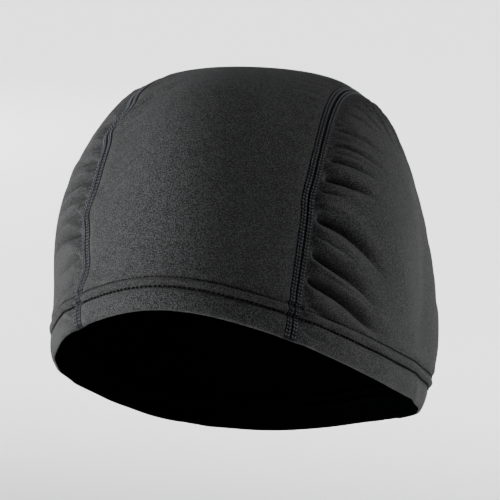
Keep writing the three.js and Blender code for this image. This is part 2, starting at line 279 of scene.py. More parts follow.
def fullness(turn, side):
    """The form's shares at headings: a smooth curve from the ridge over the shoulder, 30 degrees
    to the side, and the flank at 60 to the ear at 90."""
    place = (np.degrees(turn) - SECTIONS[0].turn) / SECTION_STEP
    ridge, shoulder, flank = (
        even_curve([getattr(section, name) for section in SECTIONS], place, True)
        for name in ("ridge", "shoulder", "flank")
    )
    ear = 1
    level = (ridge + 2 * shoulder + 2 * flank + ear) / 6
    first = (ridge + shoulder - flank - ear) / 3
    second = (ridge - shoulder - flank + ear) / 3
    third = (ridge - 2 * shoulder + 2 * flank - ear) / 6
    return (
        level
        + first * np.cos(2 * side)
        + second * np.cos(4 * side)
        + third * np.cos(6 * side)
    )


def heading(turn, side):
    """Unit directions at a turn over the crown and an angle to the side."""
    away = np.cos(side)
    parts = np.broadcast_arrays(np.sin(side), -away * np.cos(turn), away * np.sin(turn))
    return np.stack(parts, -1)


def turn_of(direction):
    """Turns over the crown of directions, from -90 to 270 degrees, in radians."""
    turn = np.arctan2(direction[..., 2], -direction[..., 1])
    return np.where(turn < -np.pi / 2, turn + 2 * np.pi, turn)


def side_of(direction):
    """Angles to the side of unit directions, in radians."""
    return np.arcsin(np.clip(direction[..., 0], -1, 1))


def unit_of(vector):
    return vector / np.linalg.norm(vector, axis=-1, keepdims=True)


def form_point(direction):
    """Points of the smooth form at headings, in millimetres from the line of the ears."""
    unit = unit_of(direction)
    reach = unit * fullness(turn_of(unit), side_of(unit))[..., None]
    half_length = (FRONT_REACH + BACK_REACH) / 2
    lean = (BACK_REACH - FRONT_REACH) / 2
    return np.stack(
        (
            EAR_HALF_WIDTH * reach[..., 0],
            reach[..., 1] * (half_length + lean * reach[..., 1]),
            CROWN_RISE * reach[..., 2],
        ),
        -1,
    )


def form_normal(direction):
    """Outward normals of the smooth form at headings."""
    unit = unit_of(direction)
    level = np.abs(unit[..., 2:]) < STEEP
    helper = np.where(level, np.array((0.0, 0, 1)), np.array((0.0, 1, 0)))
    across = unit_of(np.cross(helper, unit))
    along = np.cross(unit, across)

    def slope(tangent):
        return form_point(unit + tangent * PROBE) - form_point(unit - tangent * PROBE)

    return unit_of(np.cross(slope(across), slope(along)))


def drop_of(point):
    """How far points lie below the hem's top row."""
    x, y, z = point[..., 0], point[..., 1], point[..., 2]
    to_front = np.where(y < 0, -y / FRONT_REACH, -y / BACK_REACH)
    tilt = np.where(y < 0, 0, HEM_TILT * x / EAR_HALF_WIDTH)
    climb = (HEM_RISE_FRONT + HEM_DROP_BACK) / 2
    tip = (HEM_RISE_FRONT - HEM_DROP_BACK) / 2
    bend = climb - HEM_BOW
    top = HEM_BOW * to_front + (tip + tilt) * to_front**2 + bend * to_front**3
    return top - z


# Turns at which the tables of the seams give their side angles.
SEAM_TURNS = np.radians(np.linspace(-30, 245, 1101))


def seam_side_angle(side, turn):
    """Side angles of a seam's middle line at turns."""
    degrees = np.degrees(turn)
    width = side * PANEL_SHIFT + even_curve(
        SEAM_SPREADS,
        np.clip(degrees / SECTION_STEP, 0, len(SEAM_SPREADS) - 1),
        False,
    ) * (CENTRE_PANEL_WIDTH / 2)
    for kink in SEAM_KINKS:
        if kink.side == side:
            push = kink.push * RIBBON_WIDTH
            width = width + push * hump(degrees, kink.turn, kink.span)
    zero = np.zeros_like(turn)
    return switch_point(
        zero,
        zero + np.pi / 2,
        lambda angle: form_point(heading(turn, angle))[..., 0] > width,
    )


def seam_table(side):
    """A seam's side angles at the kept turns, and the angle of one millimetre beside it."""
    turn = SEAM_TURNS
    angle = seam_side_angle(side, turn)
    points = form_point(heading(turn, angle))
    run = unit_of(np.gradient(points, axis=0))
    across = form_point(heading(turn, angle + PROBE)) - form_point(
        heading(turn, angle - PROBE)
    )
    stretch = np.linalg.norm(across, axis=-1)
    slant = np.sqrt(1 - (np.sum(across * run, -1) / stretch) ** 2)
    return angle, 2 * PROBE / (stretch * slant)


SEAM_TABLES = {side: seam_table(side) for side in (-1, 1)}


def beside_seam(side, turn, offset):
    """Side angles of a line at an offset in millimetres from a seam."""
    angle, per_offset = SEAM_TABLES[side]
    return np.interp(turn, SEAM_TURNS, angle) + offset * np.interp(
        turn, SEAM_TURNS, per_offset
    )


def hem_outline(drop):
    """The hem's swell, a smooth curve through its stops."""
    drops = np.array([stop.drop for stop in HEM_STOPS])
    outs = np.array([stop.out for stop in HEM_STOPS])
    slopes = np.gradient(outs, drops)
    drop = np.clip(drop, drops[0], drops[-1])
    row = np.clip(np.searchsorted(drops, drop) - 1, 0, len(drops) - 2)
    span = drops[row + 1] - drops[row]
    share = (drop - drops[row]) / span
    leave, arrive = slopes[row] * span, slopes[row + 1] * span
    return smooth_between(outs[row], leave, outs[row + 1], arrive, share)


def ripple(place, wave):
    """An uneven wave: a few fixed waves near one pitch added together."""
    dice = np.random.default_rng(wave.seed)
    total = np.zeros_like(place)
    for _ in range(WAVES_MIXED):
        length = wave.pitch * dice.uniform(SHORTEST_WAVE, LONGEST_WAVE)
        total += np.sin(2 * np.pi * place / length + dice.uniform(0, 2 * np.pi))
    return wave.height * (total / WAVES_MIXED)


def puff(away, height, peak):
    """A swell that starts at a seam, is highest at its peak and fades out behind it."""
    return height * (away / peak) * np.exp(1 - away / peak)


def valley_of(gather, turn, aside, arm, away):
    """Depth of a gather's valley, with the ridges beside it, at places away from its seam."""
    bend = np.sin(away / WANDER_PITCH + gather.turn * WANDER_PHASE)
    wander = WANDER * bend * away / WANDER_GROWTH
    middle = math.radians(gather.turn) + gather.lean * aside
    across = (turn - middle) * arm / (gather.width * FOLD_WIDTH) + wander
    valley = VALLEY_DEPTH * (1 - across**2) * np.exp(-(across**2) / VALLEY_SPREAD)
    valley = valley + CREASE_DEPTH * hump(across, 0, CREASE_WIDTH)
    start = 1 - hump(away, 0, FOLD_START)
    fade = np.clip(1 - (away / (gather.reach * FOLD_REACH)) ** 2, 0, 1) ** 2
    return gather.depth * FOLD_DEPTH * valley * start * fade


def relief(direction, panel_side):
    """How far the cloth stands out from the form, with the hem, the seam's puff and gathers."""
    point = form_point(direction)
    drop = drop_of(point)
    out = hem_outline(drop)
    turn = turn_of(direction)
    arm = np.hypot(point[..., 1], point[..., 2])
    around = np.arctan2(point[..., 0], -point[..., 1]) * HEM_RADIUS
    near_rows = hump(drop, 0, HEM_ROW_WIDTH) + hump(drop, HEM_ROW_GAP, HEM_ROW_WIDTH)
    out = out + near_rows * ripple(around, HEM_ROW_WAVE)
    out = out + ripple(around, HEM_LONG_WAVE) * soft_step(HEM_SWELL_FROM, HEM_SWELL_TO, drop)
    if panel_side == 0:
        side = side_of(direction)
        for seam_side, wave in CENTRE_SEAM_WAVES.items():
            seam = beside_seam(seam_side, turn, -RIBBON_WIDTH / 2)
            away = np.maximum((seam - seam_side * side) * EAR_HALF_WIDTH, 0)
            fade = (1 - hump(away, 0, CENTRE_WAVE_START)) * np.exp(-away / CENTRE_WAVE_FADE)
            out = out + fade * ripple(turn * arm, wave)
            out = out + puff(away, CENTRE_PUFF, CENTRE_PUFF_AT)
            for pucker in PUCKERS:
                if pucker.side == seam_side:
                    aside = away / EAR_HALF_WIDTH
                    out = out - valley_of(pucker, turn, aside, arm, away)
        return out
    seam_angle = beside_seam(panel_side, turn, RIBBON_WIDTH / 2)
    seam = form_point(heading(turn, panel_side * seam_angle))
    away = np.linalg.norm(seam - point, axis=-1)
    side_angle = np.abs(side_of(direction)) - beside_seam(panel_side, turn, 0)
    out = out + puff(away, SEAM_PUFF, SEAM_PUFF_AT)
    for gather in GATHERS:
        if gather.side == panel_side:
            out = out - valley_of(gather, turn, side_angle, arm, away)
    fade = (1 - hump(away, 0, SIDE_WAVE_START)) * np.exp(-away / SIDE_WAVE_FADE)
    return out + fade * ripple(turn * arm, SIDE_SEAM_WAVES[panel_side])


def wall_of(drop):
    """Thickness of the cloth, two layers in the hem."""
    return CLOTH_WALL + (HEM_WALL - CLOTH_WALL) * soft_step(-WALL_STEP, WALL_STEP, drop)


def lip_share(drop, wall):
    """Share of the wall's thickness that is left where the hem's edge rolls round."""
    past = np.clip((drop - (HEM_DEPTH - wall / 2)) / (wall / 2), 0, 1)
    return np.sqrt(np.maximum(1 - past**2, LEAST_LIP_SQUARE))


def wall_points(direction, panel_side, drop=None):
    """Outer and inner points of the cloth at headings."""
    point = form_point(direction)
    normal = form_normal(direction)
    out = relief(direction, panel_side)[..., None]
    drop = drop_of(point) if drop is None else np.broadcast_to(drop, point.shape[:-1])
    wall = wall_of(drop)
    left = (wall * (1 - lip_share(drop, wall)) / 2)[..., None]
    wall = wall[..., None]
    return point + normal * (out - left), point + normal * (out - wall + left)


# Turns in degrees between which a line crosses the hem, the one below it first.
FRONT_HEM_TURNS = (-25, 80)
BACK_HEM_TURNS = (235, 120)


def hem_turn(line, drop, at_back, like):
    """Turns at which lines cross the hem at drops, on the front or at the back."""

    def rule(turn):
        return drop_of(form_point(heading(turn, line(turn)))) < drop

    low, high = BACK_HEM_TURNS if at_back else FRONT_HEM_TURNS
    zero = np.zeros(np.broadcast_shapes(np.shape(drop), np.shape(like)))
    return switch_point(zero + math.radians(low), zero + math.radians(high), rule)


# Places down the hem at which the cloth has a row of points, closer where its lip turns in.
FLAT_HEM_ROWS = 27
LIP_TURNS = (18, 36, 54, 72, 90)
HEM_DROPS = np.concatenate(
    (
        np.linspace(0, HEM_DEPTH - HEM_WALL / 2, FLAT_HEM_ROWS),
        HEM_DEPTH - HEM_WALL / 2 * (1 - np.sin(np.radians(LIP_TURNS))),
    )
)


def line_turns(line, rows, like):
    """Turns along lines from the front edge of the hem over the crown to its back edge."""
    front = np.stack([hem_turn(line, drop, False, like) for drop in HEM_DROPS])[::-1]
    back = np.stack([hem_turn(line, drop, True, like) for drop in HEM_DROPS])
    share = np.linspace(0, 1, rows + 1)[:, None]
    between = front[-1] * (1 - share) + back[0] * share
    return np.concatenate((front[:-1], between, back[1:]))


# ---------------------------------------------------------------- meshes from rows of points


def strip_faces(upper, lower):
    """Joins two rows of point numbers. The lower row may have half the cells of the upper."""
    cells = len(lower) - 1
    if len(upper) == len(lower):
        return [
            (upper[cell], upper[cell + 1], lower[cell + 1], lower[cell]) for cell in range(cells)
        ]
    faces = []
    for cell in range(cells):
        a, middle, b = upper[2 * cell : 2 * cell + 3]
        faces.append((a, middle, lower[cell]))
        faces.append((middle, lower[cell + 1], lower[cell]))
        faces.append((middle, b, lower[cell + 1]))
    return faces


def new_piece(name, points, faces, finishes):
    """A smooth shaded piece in the scene from points in millimetres of the form."""
    mesh = bpy.data.meshes.new(name)
    placed = np.asarray(points) - np.array((0, 0, SEAT_HEIGHT))
    mesh.from_pydata((placed * MM).tolist(), [], faces)
    mesh.validate()
    piece = bpy.data.objects.new(name, mesh)
    bpy.context.scene.collection.objects.link(piece)
    for finish in finishes:
        mesh.materials.append(finish)
    mesh.shade_smooth()
    return piece


def keep_cut(mesh, cut):
    """Keeps the places on the flat cloth, one for each point, as the mesh's UV map."""
    layer = mesh.uv_layers.new(name="cut")
    corners = np.empty(len(mesh.loops), int)
    mesh.loops.foreach_get("vertex_index", corners)
    layer.data.foreach_set("uv", (cut[corners] * MM).astype(np.float32).ravel())


def cloth_shell(name, patches, finishes):
    """A closed cloth wall. Each patch is a list of rows of (outer, inner, cut) points, where cut
    is the point's place on the flat cloth in millimetres, kept as its UV map."""
    outer = np.concatenate([row[0] for patch in patches for row in patch])
    inner = np.concatenate([row[1] for patch in patches for row in patch])
    cut = np.concatenate([row[2] for patch in patches for row in patch])
    keys = np.round(outer * 1000).astype(np.int64)
    _, first, number = np.unique(keys, axis=0, return_index=True, return_inverse=True)
    number = number.reshape(-1)
    outer, inner, cut = outer[first], inner[first], cut[first]
    faces = []
    offset = 0
    for patch in patches:
        numbered = []
        for row in patch:
            size = len(row[0])
            numbered.append(number[offset : offset + size].tolist())
            offset += size
        for upper, lower in zip(numbered, numbered[1:]):
            faces += strip_faces(upper, lower)
    sheet = []
    for face in faces:
        corners = [a for a, b in zip(face, face[1:] + face[:1]) if a != b]
        if len(set(corners)) > 2:
            sheet.append(tuple(corners))
    centre = outer.mean(0)
    sample = sheet[len(sheet) // 2]
    a, b, c = (outer[corner] for corner in sample[:3])
    if np.dot(np.cross(b - a, c - a), a - centre) < 0:
        sheet = [face[::-1] for face in sheet]
    count = len(outer)
    edges = {(a, b) for face in sheet for a, b in zip(face, face[1:] + face[:1])}
    rim = sorted((a, b) for a, b in edges if (b, a) not in edges)
    everything = list(sheet)
    everything += [tuple(corner + count for corner in face[::-1]) for face in sheet]
    everything += [(b, a, a + count, b + count) for a, b in rim]
    piece = new_piece(name, np.concatenate((outer, inner)), everything, finishes)
    mesh = piece.data
    keep_cut(mesh, np.concatenate((cut, cut)))
    # Inner and rim faces take the second finish. Every piece here gives the darker inside copy of
    # the jersey, which is painted shade.
    inside = np.zeros(len(mesh.polygons), int)
    inside[len(sheet) :] = 1
    if len(finishes) > 1 and len(mesh.polygons) == len(everything):
        mesh.polygons.foreach_set("material_index", inside)
    return piece


# ---------------------------------------------------------------- finishes


class Value:
    """A socket that shader maths can be written with."""

    def __init__(self, finish, socket):
        self.finish = finish
        self.socket = socket

    def maths(self, operation, *values):
        """One maths node on values, which are sockets or numbers."""
        sockets = dict(enumerate(values))
        return self.finish.node("ShaderNodeMath", {"operation": operation}, sockets)

    def __add__(self, other):
        return self.maths("ADD", self, other)

    def __radd__(self, other):
        return self.maths("ADD", other, self)

    def __sub__(self, other):
        return self.maths("SUBTRACT", self, other)

    def __rsub__(self, other):
        return self.maths("SUBTRACT", other, self)

    def __mul__(self, other):
        return self.maths("MULTIPLY", self, other)

    def __truediv__(self, other):
        return self.maths("DIVIDE", self, other)

    def __abs__(self):
        return self.maths("ABSOLUTE", self)

    def sine(self):
        return self.maths("SINE", self)

    def fraction(self):
        return self.maths("FRACT", self)

    def clamped(self):
        return self.maths("MINIMUM", self.maths("MAXIMUM", self, 0.0), 1.0)


class Finish:
    """A material that is built node by node."""

    def __init__(self, name):
        self.material = bpy.data.materials.new(name)
        self.material.use_nodes = True
        self.tree = self.material.node_tree
        self.tree.nodes.clear()

    def node(self, kind, settings, sockets, output=0):
        """A new node with its settings, and its sockets set or linked. Gives one output back."""
        made = self.tree.nodes.new(kind)
        for name, setting in settings.items():
            setattr(made, name, setting)
        for name, value in sockets.items():
            if isinstance(value, Value):
                self.tree.links.new(value.socket, made.inputs[name])
            else:
                made.inputs[name].default_value = value
        return Value(self, made.outputs[output])

    def cut_and_place(self):
        """Both axes of the place on the flat cloth, and the place on the piece."""
        cut = self.node("ShaderNodeUVMap", {"uv_map": "cut"}, {})
        place = self.node("ShaderNodeTexCoord", {}, {}, output=3)
        across, along = (
            self.node("ShaderNodeSeparateXYZ", {}, {"Vector": cut}, output=axis)
            for axis in (0, 1)
        )
        return across, along, place

    def noise(self, place, size, roughness):
        return self.node(
            "ShaderNodeTexNoise",
            {"noise_dimensions": "3D"},
            {"Vector": place, "Scale": 1 / size, "Detail": 2.0, "Roughness": roughness},
        )

    def bump(self, height, depth, strength):
        return self.node(
            "ShaderNodeBump", {}, {"Strength": strength, "Distance": depth, "Height": height}
        )

    def blend(self, share, first, second):
        return self.node(
            "ShaderNodeMix",
            {"data_type": "RGBA"},
            {0: share, 6: (*first, 1), 7: (*second, 1)},
            output=2,
        )

    def close(self, sockets):
        """Ends the material in one shader with these sockets."""
        shader = self.node("ShaderNodeBsdfPrincipled", {}, sockets)
        output = self.tree.nodes.new("ShaderNodeOutputMaterial")
        self.tree.links.new(shader.socket, output.inputs["Surface"])
        return self.material


# Sizes in metres, strengths and noise settings of what the finishes show.
WALE = 0.00062
COURSE = 0.0005
FIBRE_SIZE = 0.00052
MOTTLE_SIZE = 0.004
JERSEY_BUMP_DEPTH = 0.00022
JERSEY_BUMP_STRENGTH = 0.55
THREAD_FIBRE_SIZE = 0.0004
THREAD_BUMP_DEPTH = 0.00012
THREAD_BUMP_STRENGTH = 0.6
FIBRE_ROUGHNESS = 0.6
MOTTLE_ROUGHNESS = 0.5

# How much the fibres, the mottling and the loops change the jersey's tone, and its middle level.
FIBRE_CONTRAST = 5.2
MOTTLE_CONTRAST = 0.3
KNIT_CONTRAST = 0.2
GRAIN_LEVEL = 0.27


def jersey_finish(name, dark, light, sheen, gloss):
    """Matte knitted jersey: fine columns of stitches, a grain of fibres and faint mottling."""
    finish = Finish(name)
    across, along, place = finish.cut_and_place()
    column = abs((across / WALE).fraction() - 0.5) * 2
    leg = (column * math.pi).sine()
    loop = ((along / COURSE + column * 0.5) * (2 * math.pi)).sine() * 0.5 + 0.5
    knit = leg * (loop * 0.6 + 0.4)
    fibres = finish.noise(place, FIBRE_SIZE, FIBRE_ROUGHNESS)
    mottle = finish.noise(place, MOTTLE_SIZE, MOTTLE_ROUGHNESS)
    grain = (
        (fibres - 0.5) * FIBRE_CONTRAST
        + (mottle - 0.5) * MOTTLE_CONTRAST
        + knit * KNIT_CONTRAST
        + GRAIN_LEVEL
    ).clamped()
    bump = finish.bump(knit * 0.6 + fibres * 0.9, JERSEY_BUMP_DEPTH, JERSEY_BUMP_STRENGTH)
    return finish.close(
        {
            "Base Color": finish.blend(grain, dark, light),
            "Roughness": 0.92 - fibres * 0.2,
            "Specular IOR Level": gloss,
            "Sheen Weight": sheen,
            "Sheen Roughness": 0.45,
            "Sheen Tint": (0.8, 0.83, 0.86, 1),
            "Normal": bump,
        }
    )


def thread_finish(name, dark, light, ply, gloss):
    """Twisted thread: a slanting ply, each stitch of its own tone."""
    finish = Finish(name)
    across, along, place = finish.cut_and_place()
    twist = (((across + along) / ply) * (2 * math.pi)).sine() * 0.5 + 0.5
    fibres = finish.noise(place, THREAD_FIBRE_SIZE, FIBRE_ROUGHNESS)
    tone = (twist * 0.45 + fibres * 0.9 - 0.15).clamped()
    bump = finish.bump(twist + fibres, THREAD_BUMP_DEPTH, THREAD_BUMP_STRENGTH)
    return finish.close(
        {
            "Base Color": finish.blend(tone, dark, light),
            "Roughness": 0.5 + fibres * 0.2,
            "Specular IOR Level": gloss,
            "Normal": bump,
        }
    )


jersey = jersey_finish("jersey", (0.0014, 0.0014, 0.0015), (0.027, 0.0272, 0.028), 0.022, 0.14)
# The inside of the cloth: the same jersey with a much darker colour and no gloss or sheen, as
# painted shade for the inside of the cap.
jersey_inside_painted_shade = jersey_finish(
    "jersey_inside_painted_shade", (0.0004, 0.0005, 0.0006), (0.0014, 0.0016, 0.0018), 0.0, 0.0
)
seam_thread = thread_finish(
    "seam_thread", (0.002, 0.0022, 0.0032), (0.036, 0.038, 0.047), 0.0007, 0.35
)
# The hem's thread: dark thread, coloured much darker than the seam thread as painted shade of the
# grooves and creases its stitches lie in.
hem_thread_with_painted_shade = thread_finish(
    "hem_thread_with_painted_shade", (0.0006, 0.0006, 0.0008), (0.003, 0.0032, 0.0036), 0.0007, 0.06
)
ribbon_web = thread_finish(
    "ribbon_web", (0.0005, 0.0006, 0.0009), (0.003, 0.0033, 0.0045), 0.0009, 0.06
)


# ---------------------------------------------------------------- the cloth panels


def cut_places(points):
    """Places on the flat cloth for a grid of points: distances along the rows and columns."""
    down = np.linalg.norm(np.diff(points, axis=0), axis=-1)
    right = np.linalg.norm(np.diff(points, axis=1), axis=-1)
    v = np.concatenate((np.zeros((1, points.shape[1])), np.cumsum(down, 0)))
    u = np.concatenate((np.zeros((points.shape[0], 1)), np.cumsum(right, 1)), 1)
    return np.stack((u - u[:, -1:] / 2, v), -1)


CENTRE_COLUMNS = 84
CENTRE_ROWS = 330


def centre_panel():
    """The long panel between the seams, from the front hem over the crown to the back hem."""
    edge = RIBBON_WIDTH / 2 - SEAM_OVERLAP
    share = np.linspace(0, 1, CENTRE_COLUMNS + 1)

    def line(turn):
        left = -beside_seam(-1, turn, -edge)
        right = beside_seam(1, turn, -edge)
        return left * (1 - share) + right * share

    turns = line_turns(line, CENTRE_ROWS, share)
    direction = heading(turns, line(turns))
    outer, inner = wall_points(direction, 0)
    cut = cut_places(form_point(direction))
    return cloth_shell(
        "centre_panel", [list(zip(outer, inner, cut))], (jersey, jersey_inside_painted_shade)
    )


# Rows of a side panel from its seam to its middle. After each halving a row has half the cells.
FAN_ROWS = 96
FAN_STATIONS = 512
FAN_HALVINGS = (34, 54, 68, 80, 88)
FAN_CROWDING = 1.3
CUT_FLATTENING = 0.35
STEEPEST_LIFT = math.radians(80)


def hem_heading(compass, drop):
    """Headings of the hem at compass angles and a drop."""

    def at(lift):
        return np.stack(
            (
                np.sin(compass) * np.cos(lift),
                -np.cos(compass) * np.cos(lift),
                np.sin(lift),
            ),
            -1,
        )

    def above(lift):
        return drop_of(form_point(at(lift))) < drop

    zero = np.zeros_like(compass)
    return at(switch_point(zero - STEEPEST_LIFT, zero + STEEPEST_LIFT, above))


def side_panel(name, side):
    """A D shaped side panel: a fan of rows from its seam to its middle, and its hem.

    The fan's rows bend with the hem at both ends, and the last one shrinks to a point.
    """
    edge = RIBBON_WIDTH / 2 - SEAM_OVERLAP

    def line(turn):
        return beside_seam(side, turn, edge)

    def signed(turn):
        return side * line(turn)

    front, back = (
        np.array([hem_turn(signed, drop, at_back, 0.0) for drop in HEM_DROPS])
        for at_back in (False, True)
    )
    fan = []
    directions = []
    for row in range(FAN_ROWS + 1):
        stations = FAN_STATIONS // 2 ** sum(row > last for last in FAN_HALVINGS)
        share = (row / FAN_ROWS) ** FAN_CROWDING
        place = np.linspace(0, 1, stations + 1)
        start = front[0] * (1 - place) + back[0] * place
        angle = line(start) * (1 - share) + math.pi / 2 * share
        if 0 < row < FAN_ROWS:
            ends = [
                hem_turn(lambda turn: side * angle, 0, at_back, angle) for at_back in (False, True)
            ]
            start = start + (ends[0] - front[0]) * (1 - place) + (ends[1] - back[0]) * place
        elif row == FAN_ROWS:
            start = angle = np.full_like(angle, math.pi / 2)
        direction = heading(start, side * angle)
        outer, inner = wall_points(direction, side)
        if row == FAN_ROWS:
            outer = np.broadcast_to(outer[:1], outer.shape)
            inner = np.broadcast_to(inner[:1], inner.shape)
        point = form_point(direction)
        cut = np.stack((point[:, 1], np.hypot(point[:, 2], CUT_FLATTENING * point[:, 0])), -1)
        fan.append((outer, inner, cut))
        directions.append(direction)

    def border(rows):
        """The rows' first points from the seam inwards, then their last ones back to it."""
        return np.concatenate(([row[0] for row in rows], [row[-1] for row in rows[-2::-1]]))

    top = border(directions)
    top_outer, top_inner, top_cut = (border(rows) for rows in zip(*fan))
    hem = [(top_outer, top_inner, top_cut)]
    compass_top = np.unwrap(np.arctan2(top[:, 0], -top[:, 1]))
    place = np.linspace(0, 1, len(top))

    def compass_at(turn):
        direction = heading(turn, signed(turn))
        return math.atan2(direction[0], -direction[1])

    for level, drop in list(enumerate(HEM_DROPS))[1:]:
        shift = [compass_at(turns[level]) - compass_at(turns[0]) for turns in (front, back)]
        compass = compass_top + shift[0] * (1 - place) + shift[1] * place
        walls = wall_points(hem_heading(compass, drop), side, drop)
        hem.append((*walls, top_cut - np.array((0, 1)) * drop))
    return cloth_shell(name, [fan, hem], (jersey, jersey_inside_painted_shade))


# ---------------------------------------------------------------- the flat seams

# The ribbon's outline: places across it in millimetres, and how far it stands over the cloth.
RibbonStop = namedtuple("RibbonStop", "across out")
RIBBON_STOPS = (
    RibbonStop(-3.5, -0.7),
    RibbonStop(-3.1, -0.1),
    RibbonStop(-2.4, 0.25),
    RibbonStop(-1.6, 0.12),
    RibbonStop(-0.85, 0.3),
    RibbonStop(-0.35, 0.15),
    RibbonStop(0.0, -0.2),
    RibbonStop(0.35, 0.15),
    RibbonStop(0.85, 0.3),
    RibbonStop(1.6, 0.12),
    RibbonStop(2.4, 0.25),
    RibbonStop(3.1, -0.1),
    RibbonStop(3.5, -0.7),
)
RIBBON_ROWS = 420
RIBBON_DEPTH = 0.3


def ribbon_frame(side, across):
    """Points, normals and drops along a seam at a distance across it."""
    across = np.atleast_1d(np.asarray(across, float))

    def line(turn):
        return side * beside_seam(side, turn, across)

    turns = line_turns(line, RIBBON_ROWS, across)
    direction = heading(turns, line(turns))
    point = form_point(direction)
    normal = form_normal(direction)
    out = relief(direction, 0)
    return point + normal * out[..., None], normal, drop_of(point)


def seam_ribbon(name, side):
    """The ribbon of a seam, through both layers of cloth, from the front hem to the back one."""
    across = [stop.across for stop in RIBBON_STOPS]
    proud = np.array([stop.out for stop in RIBBON_STOPS])
    point, normal, drop = ribbon_frame(side, across)
    wall = wall_of(drop)
    left = wall * (1 - lip_share(drop, wall)) / 2
    outer = point + normal * (proud - left)[..., None]
    inner = point + normal * (left - wall - RIBBON_DEPTH)[..., None]
    cut = cut_places(point)
    return cloth_shell(name, [list(zip(outer, inner, cut))], (ribbon_web, jersey_inside_painted_shade))


# ---------------------------------------------------------------- stitches

# A row's stitches in millimetres: their size, pitch, slant in radians and lift over the cloth.
Stitch = namedtuple("Stitch", "radius length pitch slant lift")
SEAM_STITCH = Stitch(0.36, 1.3, 1.45, 0.7, 0.34)
UPPER_STITCH = Stitch(0.36, 1.1, 1.75, 0.0, 0.26)
LOWER_STITCH = Stitch(0.55, 1.5, 2.0, 0.45, 0.42)
STITCH_SIDES = 6
STITCH_BEND = 2.5
STITCH_SINK = 1.3
SLANT_SPREAD = 0.05
LIFT_SPREAD = 0.03
CUT_SPREAD = 5
STITCH_SEED = 17


def stitch_shape(kind):
    """One stitch, modelled as a slim sphere with its ends drawn down into the cloth."""
    bpy.ops.object.select_all(action="DESELECT")
    bpy.ops.mesh.primitive_uv_sphere_add(
        segments=STITCH_SIDES, ring_count=STITCH_SIDES, radius=1, location=(0, 0, 0)
    )
    stitch = bpy.context.object
    bpy.ops.object.mode_set(mode="EDIT")
    bpy.ops.mesh.select_all(action="SELECT")
    bpy.ops.transform.rotate(value=math.pi / 2, orient_axis="Y", center_override=(0, 0, 0))
    half = (kind.length / 2, kind.radius, kind.radius)
    bpy.ops.transform.resize(value=half, center_override=(0, 0, 0))
    bpy.ops.object.mode_set(mode="OBJECT")
    points = np.array([vertex.co[:] for vertex in stitch.data.vertices])
    faces = [tuple(face.vertices) for face in stitch.data.polygons]
    bpy.data.objects.remove(stitch)
    ends = np.abs(points[:, 0]) / (kind.length / 2)
    points[:, 2] -= ends**STITCH_BEND * kind.radius * STITCH_SINK
    return points, faces


def along_row(points, normals, pitch):
    """Evenly spaced places along a row, with their normals and directions."""
    steps = np.linalg.norm(np.diff(points, axis=0), axis=-1)
    run = np.concatenate(([0], np.cumsum(steps)))
    count = int(run[-1] / pitch)
    at = (np.arange(count) + 0.5) * run[-1] / count

    def read(values, where):
        return np.stack([np.interp(where, run, values[:, axis]) for axis in range(3)], -1)

    middle = read(points, at)
    direction = unit_of(read(points, at + pitch / 4) - read(points, at - pitch / 4))
    return middle, direction, unit_of(read(normals, at))


def stitch_rows(name, kind, rows, finish):
    """Many stitches of one kind in one piece. Each row gives its places and its slant."""
    shape, shape_faces = stitch_shape(kind)
    points = []
    faces = []
    cuts = []
    total = 0
    dice = np.random.default_rng(STITCH_SEED)
    for (middle, direction, normal), slant in rows:
        across = np.cross(normal, direction)
        angle = slant + dice.normal(0, SLANT_SPREAD, len(middle))
        lead = direction * np.cos(angle)[:, None] + across * np.sin(angle)[:, None]
        beside = np.cross(normal, lead)
        height = kind.lift + dice.normal(0, LIFT_SPREAD, len(middle))
        base = middle + normal * height[:, None]
        placed = (
            base[:, None]
            + shape[None, :, :1] * lead[:, None]
            + shape[None, :, 1:2] * beside[:, None]
            + shape[None, :, 2:] * normal[:, None]
        )
        points.append(placed.reshape(-1, 3))
        shift = dice.uniform(0, CUT_SPREAD, len(middle))
        cuts.append((shape[None, :, :2] + shift[:, None, None]).reshape(-1, 2))
        for number in range(len(middle)):
            start = total + number * len(shape)
            faces += [tuple(corner + start for corner in face) for face in shape_faces]
        total += len(middle) * len(shape)
    piece = new_piece(name, np.concatenate(points), faces, (finish,))
    keep_cut(piece.data, np.concatenate(cuts))
    return piece


# The rows of a seam: places across it in millimetres, and which way their stitches slant.
SeamRow = namedtuple("SeamRow", "across way")
SEAM_ROWS = (
    SeamRow(-2.2, 1),
    SeamRow(-0.95, -1),
    SeamRow(0.95, 1),
    SeamRow(2.2, -1),
)
SEAM_END_GAP = 0.9


def seam_stitches(name, side):
    """The four rows of stitches on a seam's ribbon."""
    rows = []
    for row in SEAM_ROWS:
        point, normal, drop = ribbon_frame(side, row.across)
        keep = drop[:, 0] < HEM_DEPTH - SEAM_END_GAP
        places = along_row(point[keep, 0], normal[keep, 0], SEAM_STITCH.pitch)
        rows.append((places, row.way * SEAM_STITCH.slant * side))
    return stitch_rows(name, SEAM_STITCH, rows, seam_thread)


HEM_SAMPLES = 900


def hem_row_places(drop, pitch, panel, low, high):
    """Places along the hem at a drop between two compass angles, on one panel's cloth."""
    compass = np.linspace(low, high, HEM_SAMPLES)
    direction = hem_heading(compass, drop)
    point = form_point(direction)
    normal = form_normal(direction)
    out = relief(direction, panel)
    return along_row(point + normal * out[:, None], normal, pitch)


def seam_compass(side, drop, across, at_back):
    """Compass angle at which a seam's line crosses the hem."""
    turn = hem_turn(lambda at: side * beside_seam(side, at, across), drop, at_back, 0.0)
    direction = heading(turn, side * beside_seam(side, turn, across))
    return math.atan2(direction[0], -direction[1])


